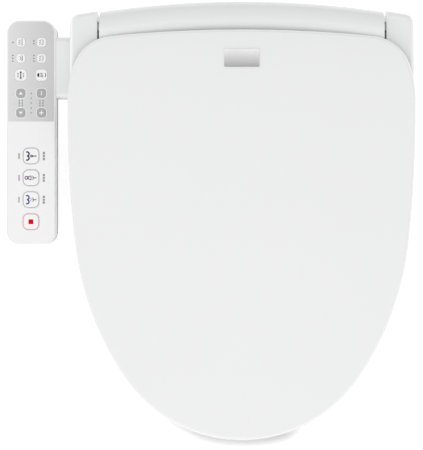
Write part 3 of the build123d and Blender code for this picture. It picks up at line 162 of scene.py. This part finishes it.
# Moulded shells of the housing
# The base tray and the top cover are injection-moulded in white polypropylene, polished on the outside.
# They meet at a parting line above the base and are held by screws from below.
cloud_scale = 9.0
gloss_spread = 0.04
coat_roughness = 0.08
dent_depth = 0.0003
# Where the painted rim highlight lies, by how far the surface faces up, and how strong it is there.
painted_highlight_band = ((0.35, 0.0), (0.55, 1.0), (0.88, 1.0), (0.97, 0.0))


def finish(name, colour, roughness, grain, mottle, dent=0.0, metal=0.0, coat=0.0, shine=0.5):
    """A finish whose colour, gloss and surface vary a little, as a real moulding or metal does."""
    material = bpy.data.materials.new(name)
    material.use_nodes = True
    shader = material.node_tree
    link = shader.links.new
    skin = shader.nodes["Principled BSDF"]
    skin.inputs["Metallic"].default_value = metal
    skin.inputs["Specular IOR Level"].default_value = shine
    skin.inputs["Coat Weight"].default_value = coat
    skin.inputs["Coat Roughness"].default_value = coat_roughness
    place = add_node(shader, "TexCoord").outputs["Object"]
    cloud = add_node(shader, "TexNoise", {"Scale": cloud_scale, "Detail": 3.0})
    fine = add_node(shader, "TexNoise", {"Scale": grain, "Detail": 4.0})
    shade = add_node(shader, "ValToRGB")
    dark, light = shade.color_ramp.elements
    dark.position, light.position = 0.3, 0.7
    dark.color = (*[c * (1.0 - mottle) for c in colour], 1.0)
    light.color = (*[min(1.0, c * (1.0 + mottle)) for c in colour], 1.0)
    gloss = add_node(shader, "MapRange", {"To Min": roughness - gloss_spread, "To Max": roughness + gloss_spread})
    link(place, cloud.inputs["Vector"])
    link(place, fine.inputs["Vector"])
    link(cloud.outputs["Fac"], shade.inputs["Fac"])
    link(shade.outputs["Color"], skin.inputs["Base Color"])
    link(fine.outputs["Fac"], gloss.inputs["Value"])
    link(gloss.outputs["Result"], skin.inputs["Roughness"])
    if dent:
        relief = add_node(shader, "Bump", {"Strength": dent, "Distance": dent_depth})
        link(fine.outputs["Fac"], relief.inputs["Height"])
        link(relief.outputs["Normal"], skin.inputs["Normal"])
    return material


def scale_colour(shader, factor):
    """Let a value of a shader make its colour lighter or darker."""
    skin = shader.nodes["Principled BSDF"]
    scaled = add_node(shader, "VectorMath", operation="SCALE")
    shader.links.new(skin.inputs["Base Color"].links[0].from_socket, scaled.inputs[0])
    shader.links.new(factor, scaled.inputs["Scale"])
    shader.links.new(scaled.outputs["Vector"], skin.inputs["Base Color"])


def across(material, axis, near, far):
    """Let a finish's colour run across its piece, from one end of an axis to the other."""
    shader = material.node_tree
    place = add_node(shader, "SeparateXYZ")
    run = add_node(shader, "MapRange", {"To Min": near, "To Max": far})
    shader.links.new(add_node(shader, "TexCoord").outputs["Generated"], place.inputs[0])
    shader.links.new(place.outputs[axis], run.inputs["Value"])
    scale_colour(shader, run.outputs["Result"])


def painted_rim_highlight(material, gain, toward=(0.0, 0.0, 0.0)):
    """Paint a highlight: lift the colour where the surface rounds over from its top to its walls, more on one side
    if so wished.
    """
    shader = material.node_tree
    link = shader.links.new
    facing = add_node(shader, "TexCoord").outputs["Normal"]
    slope = add_node(shader, "SeparateXYZ")
    band = add_node(shader, "ValToRGB")
    stops = band.color_ramp.elements
    for stop, share in painted_highlight_band:
        stops.new(stop).color = (share, share, share, 1.0)
    stops[0].color = stops[-1].color = (0.0, 0.0, 0.0, 1.0)
    side = add_node(shader, "VectorMath", {1: toward}, "DOT_PRODUCT")
    extra = add_node(shader, "Math", {1: gain - 1.0}, "ADD")
    lift = add_node(shader, "Math", {2: 1.0}, "MULTIPLY_ADD")
    link(facing, slope.inputs[0])
    link(facing, side.inputs[0])
    link(slope.outputs["Z"], band.inputs["Fac"])
    link(side.outputs["Value"], extra.inputs[0])
    link(band.outputs["Color"], lift.inputs[0])
    link(extra.outputs[0], lift.inputs[1])
    scale_colour(shader, lift.outputs[0])


def wear(material, *names):
    """Give these CAD nodes a finish."""
    for name in names:
        mesh = nodes[name].data
        mesh.materials.clear()
        mesh.materials.append(material)


shell_white_painted_rims = finish("shell_white_painted_rims", (0.855, 0.858, 0.862), 0.22, 700.0, mottle=0.004, dent=0.02, coat=0.4)
# Painted highlight: the shells' colour is lifted on their rounded edges, where top turns into wall.
painted_rim_highlight(shell_white_painted_rims, 1.12)
wear(shell_white_painted_rims, "top_cover", "base_tray")


# Fixings under the housing
# A grey nylon plate is bolted to the bowl, rubber pads stand on the rim and plated screws close the case.
# The release button in the right wall is a satin grey moulding.
plate_grey = finish("plate_grey", (0.42, 0.43, 0.45), 0.55, 900.0, mottle=0.05, dent=0.25)
pad_rubber = finish("pad_rubber", (0.50, 0.50, 0.50), 0.75, 500.0, mottle=0.06, dent=0.3)
screw_zinc = finish("screw_zinc", (0.60, 0.61, 0.63), 0.32, 1500.0, mottle=0.06, metal=1.0)
button_grey = finish("button_grey", (0.48, 0.49, 0.51), 0.45, 800.0, mottle=0.03, dent=0.1)
wear(plate_grey, "mount_plate")
wear(pad_rubber, "base_pads")
wear(screw_zinc, "case_screws")
wear(button_grey, "release_button")


# Hinge hardware
# Pressed steel brackets carry turned pins, and a closed damper on each pin lets seat and lid sink slowly.
hinge_steel = finish("hinge_steel", (0.66, 0.66, 0.67), 0.34, 1800.0, mottle=0.08, dent=0.1, metal=1.0)
damper_black = finish("damper_black", (0.035, 0.035, 0.038), 0.5, 900.0, mottle=0.15, dent=0.2)
wear(hinge_steel, "hinge_brackets", "hinge_pins")
wear(damper_black, "hinge_dampers")


# Water side
# Supply water enters a brass spigot, passes the solenoid valve and is warmed in a natural plastic tank.
# A bent steel heating tube hangs in the tank from its welded cover, and silicone hoses lead on to the wand.
inlet_brass = finish("inlet_brass", (0.72, 0.56, 0.28), 0.28, 1600.0, mottle=0.06, dent=0.08, metal=1.0)
valve_blue = finish("valve_blue", (0.06, 0.08, 0.16), 0.48, 900.0, mottle=0.1, dent=0.15)
tank_natural = finish("tank_natural", (0.72, 0.73, 0.69), 0.42, 500.0, mottle=0.04, dent=0.1)
heater_steel = finish("heater_steel", (0.50, 0.47, 0.43), 0.36, 1400.0, mottle=0.16, dent=0.1, metal=1.0)
hose_silicone = finish("hose_silicone", (0.74, 0.74, 0.71), 0.6, 600.0, mottle=0.03, dent=0.1)
wear(inlet_brass, "water_inlet")
wear(valve_blue, "solenoid_valve")
wear(tank_natural, "water_tank", "tank_cover")
wear(heater_steel, "tank_heater")
wear(hose_silicone, "tank_hose", "wand_hose")


# Spray wand and its drive
# The white wand slides in a moulded cradle on a fixed steel feed tube; a stepper motor turns an acetal pinion
# in the rack along its back. The tip is a separate push-on cap with the spray hole.
wand_white = finish("wand_white", (0.84, 0.84, 0.835), 0.2, 900.0, mottle=0.01, dent=0.03, coat=0.3)
tip_grey = finish("tip_grey", (0.70, 0.71, 0.73), 0.26, 900.0, mottle=0.02, dent=0.04, coat=0.2)
cradle_grey = finish("cradle_grey", (0.60, 0.60, 0.59), 0.5, 900.0, mottle=0.04, dent=0.2)
tube_steel = finish("tube_steel", (0.68, 0.68, 0.68), 0.25, 1800.0, mottle=0.05, metal=1.0)
pinion_acetal = finish("pinion_acetal", (0.78, 0.74, 0.62), 0.4, 900.0, mottle=0.03, dent=0.1)
motor_can = finish("motor_can", (0.55, 0.55, 0.56), 0.38, 1500.0, mottle=0.08, dent=0.1, metal=1.0)
wear(wand_white, "spray_wand")
wear(tip_grey, "wand_tip")
wear(cradle_grey, "wand_cradle")
wear(tube_steel, "wand_feed_tube")
wear(pinion_acetal, "wand_pinion")
wear(motor_can, "wand_motor", "blower_motor")


# Warm air dryer
# A scroll blower and its duct are moulded in black heat-proof nylon; the outlet flap in the snout is white.
blower_black = finish("blower_black", (0.030, 0.030, 0.032), 0.48, 900.0, mottle=0.2, dent=0.2)
wear(blower_black, "blower_scroll", "blower_impeller", "dryer_duct")
wear(shell_white_painted_rims, "dryer_flap")


# Electronics
# Glass laminate boards with green solder mask carry the supply and the keypad's contact domes.
# The cord's gland is a pale rubber moulding in the right pocket.
board_green = finish("board_green", (0.020, 0.105, 0.045), 0.35, 600.0, mottle=0.2, dent=0.1, coat=0.2)
gland_rubber = finish("gland_rubber", (0.66, 0.66, 0.65), 0.7, 600.0, mottle=0.04, dent=0.25)
wear(board_green, "main_board", "panel_board")
wear(gland_rubber, "cord_gland")


# Seat ring
# Two white shells welded round the rim hold a foil heater; the hinge arms are part of the upper shell.
# Soft bumpers stand on the bowl and under the lid.
seat_white = finish("seat_white", (0.865, 0.865, 0.862), 0.18, 700.0, mottle=0.004, dent=0.02, coat=0.5)
heater_foil = finish("heater_foil", (0.74, 0.74, 0.75), 0.3, 500.0, mottle=0.06, dent=0.3, metal=1.0)
bumper_grey = finish("bumper_grey", (0.62, 0.62, 0.62), 0.7, 600.0, mottle=0.05, dent=0.25)
wear(seat_white, "seat_upper_shell", "seat_lower_shell")
wear(heater_foil, "seat_heater")
wear(bumper_grey, "seat_bumpers", "lid_bumpers")


# Lid
# One crowned moulding in polished white, with a painted highlight along its rim, and a bowed cover over the hinge
# behind it.
# A plain bright metal plate is stuck on near the rear edge.
lid_white = finish("lid_white", (0.86, 0.862, 0.866), 0.2, 650.0, mottle=0.003, dent=0.015, coat=0.45)
lid_white_painted_rim = lid_white.copy()
lid_white_painted_rim.name = "lid_white_painted_rim"
# Painted highlight on the lid's rim, stronger towards the right and the rear; the hinge cover keeps the plain
# white.
painted_rim_highlight(lid_white_painted_rim, 1.08, (0.08, 0.10, 0.0))
badge_bright = finish("badge_bright", (0.90, 0.90, 0.91), 0.22, 1200.0, mottle=0.06, dent=0.12, metal=1.0)
# Painted reflection: the plate's colour runs from darker at its front to brighter at its rear.
across(badge_bright, "Y", 0.48, 1.05)
wear(lid_white_painted_rim, "lid_panel")
wear(lid_white, "lid_hinge_cover")
wear(badge_bright, "lid_badge_plate")


# Control panel shell
# An arm off the left pod carries a slim case of a white and a grey moulding, clipped together round its edge; the
# lower moulding's grey is its own colour, made darker as painted shade on the case's walls.
# Printed films cover the top: a silver-grey one at the rear and a white one in front.
case_grey_painted_shade = finish("case_grey_painted_shade", (0.58, 0.58, 0.585), 0.4, 900.0, mottle=0.01, dent=0.05)
film_grey = finish("film_grey", (0.70, 0.70, 0.705), 0.4, 1200.0, mottle=0.02, dent=0.05)
# Painted shade: the grey film is lighter at its left and darker at its right.
across(film_grey, "X", 1.08, 0.89)
film_white = finish("film_white", (0.93, 0.93, 0.932), 0.36, 1200.0, mottle=0.005, dent=0.04)
lamp_smoke = finish("lamp_smoke", (0.14, 0.14, 0.15), 0.3, 900.0, mottle=0.1)
across(lamp_smoke, "Y", 3.6, 0.6)
wear(shell_white_painted_rims, "panel_arm", "panel_upper_shell")
wear(case_grey_painted_shade, "panel_lower_shell")
wear(film_grey, "upper_keypad_film")
wear(film_white, "lower_keypad_film")
wear(lamp_smoke, "status_lamps")


# Keys
# Each key is a moulded cap that stands a little above the film; their signs are printed on top.
key_white = finish("key_white", (0.94, 0.94, 0.94), 0.34, 900.0, mottle=0.006, dent=0.03)
key_grey = finish("key_grey", (0.43, 0.43, 0.44), 0.36, 900.0, mottle=0.02, dent=0.04)
for name in nodes:
    if name.startswith("key_"):
        wear(key_grey if "four" in name or "five" in name else key_white, name)


# Signs on the keys and films
# All signs are screen-printed in thin ink. They are read from the seat, so their top points to the left.
# Each one lies on its own cap or film and moves with it. Their sizes are in millimetres.
mm = 0.001
film_top, cap_top = 0.0, 0.5
ink_depth, ink_root = 0.05, 0.02
block_gap = 0.8
lean = math.radians(9.5)
panel_place = Matrix((
    (1.0, 0.0, 0.0, -0.253),
    (0.0, math.cos(lean), -math.sin(lean), -0.1123),
    (0.0, math.sin(lean), math.cos(lean), 0.080),
    (0.0, 0.0, 0.0, 1.0),
))


def key_middle(name):
    """Middle of a key in panel millimetres, from its CAD node."""
    onto_panel = panel_place.inverted() @ nodes[name].matrix_world
    spots = [onto_panel @ v.co for v in nodes[name].data.vertices]
    return tuple(0.5 / mm * (min(p[i] for p in spots) + max(p[i] for p in spots)) for i in (0, 1))


class InkSheet:
    """Printed shapes in panel millimetres: u to the right, v to the rear, both from the panel's middle."""

    def __init__(self, level):
        self.mesh = bmesh.new()
        self.level = level

    def corner(self, point, top):
        """A corner on the ink's top, or at its root just under the surface that it is printed on."""
        height = self.level + (ink_depth if top else -ink_root)
        return self.mesh.verts.new(panel_place @ (Vector((point[0], point[1], height)) * mm))

    def patch(self, outline):
        """A filled shape."""
        tops = [self.corner(p, True) for p in outline]
        feet = [self.corner(p, False) for p in outline]
        self.mesh.faces.new(tops)
        self.mesh.faces.new(feet[::-1])
        for i in range(len(outline)):
            j = (i + 1) % len(outline)
            self.mesh.faces.new((feet[i], feet[j], tops[j], tops[i]))

    def line(self, path, width, closed=False):
        """A stroke of even width along a path."""
        count = len(path)
        sides = []
        for i, point in enumerate(path):
            before = Vector(path[i - 1] if i or closed else point)
            after = Vector(path[(i + 1) % count] if i < count - 1 or closed else point)
            along = (after - before).normalized()
            aside = Vector((-along.y, along.x)) * width / 2
            ends = (Vector(point) + aside, Vector(point) - aside)
            sides.append([self.corner(e, top) for e in ends for top in (True, False)])
        for i in range(count if closed else count - 1):
            a, b = sides[i], sides[(i + 1) % count]
            self.mesh.faces.new((a[0], b[0], b[2], a[2]))
            self.mesh.faces.new((a[1], a[3], b[3], b[1]))
            self.mesh.faces.new((a[0], a[1], b[1], b[0]))
            self.mesh.faces.new((a[2], b[2], b[3], a[3]))
        if not closed:
            for end in (sides[0], sides[-1]):
                self.mesh.faces.new((end[0], end[2], end[3], end[1]))

    def done(self, name, ink, body):
        """Make the shapes one piece that moves with a body."""
        bmesh.ops.recalc_face_normals(self.mesh, faces=self.mesh.faces)
        data = bpy.data.meshes.new(name)
        self.mesh.to_mesh(data)
        self.mesh.free()
        data.materials.append(ink)
        piece = bpy.data.objects.new(name, data)
        bpy.context.scene.collection.objects.link(piece)
        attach(piece, body)


def arc(middle, radius, start, end, steps=14):
    """Points along an arc, between two angles in degrees."""
    angles = [math.radians(start + (end - start) * i / steps) for i in range(steps + 1)]
    return [(middle[0] + radius * math.cos(a), middle[1] + radius * math.sin(a)) for a in angles]


def ring(middle, radius):
    """Points round a circle, for a closed stroke."""
    return arc(middle, radius, 0, 345, 22)


def squircle(middle, half, bend):
    """Points round a square with rounded corners."""
    path = []
    for x, y, start in ((1, 1, 0), (-1, 1, 90), (-1, -1, 180), (1, -1, 270)):
        path += arc((middle[0] + x * (half - bend), middle[1] + y * (half - bend)), bend, start, start + 90, 8)
    return path


def turned(middle, path):
    """A sign drawn upright for its reader, laid on the panel."""
    return [(middle[0] - up, middle[1] + right) for right, up in path]


def blocks(sheet, middle, width, lengths):
    """A row of blocks along the panel, a space apart."""
    along = middle[1] + (sum(lengths) + block_gap * (len(lengths) - 1)) / 2
    for length in lengths:
        sheet.line([(middle[0], along), (middle[0], along - length)], width)
        along -= length + block_gap


def printing_ink(name, colour, mottle):
    """A matt ink."""
    return finish(name, colour, 0.6, 1500.0, mottle, shine=0.1)


ink_grey = printing_ink("ink_grey", (0.20, 0.20, 0.21), 0.08)
ink_pale = printing_ink("ink_pale", (0.33, 0.33, 0.35), 0.06)
ink_dark = printing_ink("ink_dark", (0.014, 0.014, 0.018), 0.1)
ink_white = printing_ink("ink_white", (0.95, 0.95, 0.95), 0.01)
ink_navy = printing_ink("ink_navy", (0.014, 0.015, 0.075), 0.1)
ink_purple = printing_ink("ink_purple", (0.085, 0.012, 0.120), 0.1)
ink_blue = printing_ink("ink_blue", (0.045, 0.085, 0.28), 0.08)
ink_red = printing_ink("ink_red", (0.66, 0.002, 0.010), 0.05)

# Large keys, outlined: cheeks over a spray for two of the washes, a person for the second, and a square to stop
outline_half, outline_bend, outline_width = 9.35, 6.2, 0.55
square_half, square_bend = 2.9, 0.5
cheek_width, head_width, dress_width, fold_width = 1.7, 1.0, 1.3, 0.6
stem_width, drop_width, jet_width = 1.2, 1.1, 0.8
cheeks = arc((-2.5, 4.7), 2.4, 150, 350) + arc((2.5, 4.7), 2.4, 190, 390)
dress = [(-1.2, 3.4), (-2.4, 0.0), (2.4, 0.0), (1.2, 3.4)]
fold = [(-1.9, 1.0), (0.0, -0.6), (1.9, 1.0)]
figure_inks = {"key_first": ink_navy, "key_second": ink_purple, "key_third": ink_blue}
for name in ("key_first", "key_second", "key_third", "key_stop"):
    middle = key_middle(name)
    outline = InkSheet(cap_top)
    outline.line(squircle(middle, outline_half, outline_bend), outline_width, closed=True)
    outline.done(name + "_outline", ink_red if name == "key_stop" else ink_grey, name)
    sign = InkSheet(cap_top)
    if name == "key_stop":
        sign.patch(squircle(middle, square_half, square_bend))
        sign.done("stop_square", ink_red, name)
        continue
    if name == "key_second":
        sign.line(turned(middle, ring((0.0, 5.5), 1.7)), head_width, closed=True)
        sign.line(turned(middle, dress), dress_width, closed=True)
    else:
        sign.line(turned(middle, cheeks), cheek_width)
    if name == "key_third":
        sign.line(turned(middle, fold), fold_width)
    sign.done(name + "_figure", figure_inks[name], name)
    spray = InkSheet(cap_top)
    if name == "key_first":
        spray.line(turned(middle, [(0.0, -6.6), (0.0, -1.9)]), stem_width)
        spray.line(turned(middle, ring((0.0, -0.7), 1.1)), drop_width, closed=True)
    else:
        spray.line(turned(middle, [(0.0, -6.6), (0.0, -3.9)]), stem_width)
        for end in (-2.4, 0.0, 2.4):
            spray.line(turned(middle, [(0.2 * end, -3.7), (end, -1.4)]), jet_width)
    spray.done(name + "_spray", ink_dark if name == "key_first" else ink_grey, name)

# Medium keys: a wand that moves to and fro, and warm air
shaft_width, tick_width, air_width, seat_width = 1.1, 0.8, 0.7, 0.8
for name in ("key_row_three_left", "key_row_three_right"):
    middle = key_middle(name)
    sign = InkSheet(cap_top)
    if name.endswith("left"):
        sign.line(turned(middle, [(-3.6, 0.0), (3.6, 0.0)]), shaft_width)
        for hand in (-1, 1):
            sign.patch(turned(middle, [(hand * 5.0, 0.0), (hand * 2.9, 1.5), (hand * 2.9, -1.5)]))
        for step in (-2.0, 0.0, 2.0):
            sign.line(turned(middle, [(step, 2.5), (step, 4.1)]), tick_width)
            sign.line(turned(middle, [(step, -2.5), (step, -4.1)]), tick_width)
    else:
        sign.patch(turned(middle, arc((0.0, 2.6), 2.5, 0, 180)))
        for step in (-1.8, 0.0, 1.8):
            wave = [(step + 0.4 * math.sin(i * 0.9), 1.4 - 0.5 * i) for i in range(8)]
            sign.line(turned(middle, wave), air_width)
        sign.line(turned(middle, arc((0.0, -1.9), 3.3, 222, 318)), seat_width)
    sign.done(name + "_sign", ink_dark, name)

# Small white keys: warmth over a seat, warmth over a basin, and a moon for the night
wave_width, base_width = 0.75, 0.8
moon = arc((0.0, 1.4), 2.2, 170, 370, 20) + arc((0.0, 2.2), 2.0, 350, 190, 16)
seat = [(-4.2, -1.5), (4.2, -1.5)]
basin = [(-3.2, -0.6), (-2.4, -1.9), (2.4, -1.9), (3.2, -0.6)]
for which in ("one_left", "one_right", "two_left", "two_right"):
    name = "key_row_" + which
    middle = key_middle(name)
    sign = InkSheet(cap_top)
    if which == "two_left":
        sign.patch(turned(middle, moon))
    else:
        for step in (-2.2, 0.0, 2.2):
            wave = [(step + 0.4 * math.sin(i), 0.4 + 0.4 * i) for i in range(7)]
            sign.line(turned(middle, wave), wave_width)
    sign.line(turned(middle, seat if which == "one_left" else basin), base_width)
    sign.done(name + "_sign", ink_grey, name)

# Grey keys: up and down, less and more, in white, with a pale ring on the film round each
halo_half, halo_bend, halo_width = 6.15, 4.4, 0.8
bar_half, bar_reach = 0.55, 2.6
pointer = ((-2.7, -1.5), (2.7, -1.5), (0.0, 1.9))
for row, side in (("four", "left"), ("five", "left"), ("four", "right"), ("five", "right")):
    name = f"key_row_{row}_{side}"
    middle = key_middle(name)
    sign = InkSheet(cap_top)
    if side == "left":
        hand = 1.0 if row == "four" else -1.0
        sign.patch([(middle[0] + x, middle[1] + hand * y) for x, y in pointer])
    else:
        bar = [(-bar_reach, -bar_half), (bar_reach, -bar_half), (bar_reach, bar_half), (-bar_reach, bar_half)]
        sign.patch(turned(middle, bar))
        if row == "five":
            for low, high in ((bar_half, bar_reach), (-bar_reach, -bar_half)):
                sign.patch(turned(middle, [(-bar_half, low), (bar_half, low), (bar_half, high), (-bar_half, high)]))
    sign.done(name + "_sign", ink_white, name)
    halo = InkSheet(film_top)
    halo.line(squircle(middle, halo_half, halo_bend), halo_width, closed=True)
    halo.done(name + "_halo", ink_white, "housing")

# Plain blocks on the films, where such a panel names its keys
level_width, level_lengths, level_shift = 1.3, (2.2, 2.2, 2.2), 1.8
wash_width, wash_place = 2.6, 15.4
wash_lengths = {"key_first": (3.0, 2.4, 3.0), "key_second": (2.8, 2.2, 2.6), "key_third": (3.0, 2.2, 2.8)}
level_words = InkSheet(film_top)
for side in ("left", "right"):
    ends = [key_middle(f"key_row_{row}_{side}") for row in ("four", "five")]
    middle = ((ends[0][0] + ends[1][0]) / 2, (ends[0][1] + ends[1][1]) / 2)
    for shift in (-level_shift, level_shift):
        blocks(level_words, (middle[0] + shift, middle[1]), level_width, level_lengths)
level_words.done("level_blocks", ink_pale, "housing")
wash_words = InkSheet(film_top)
for name, lengths in wash_lengths.items():
    blocks(wash_words, (wash_place, key_middle(name)[1]), wash_width, lengths)
wash_words.done("wash_blocks", ink_pale, "housing")
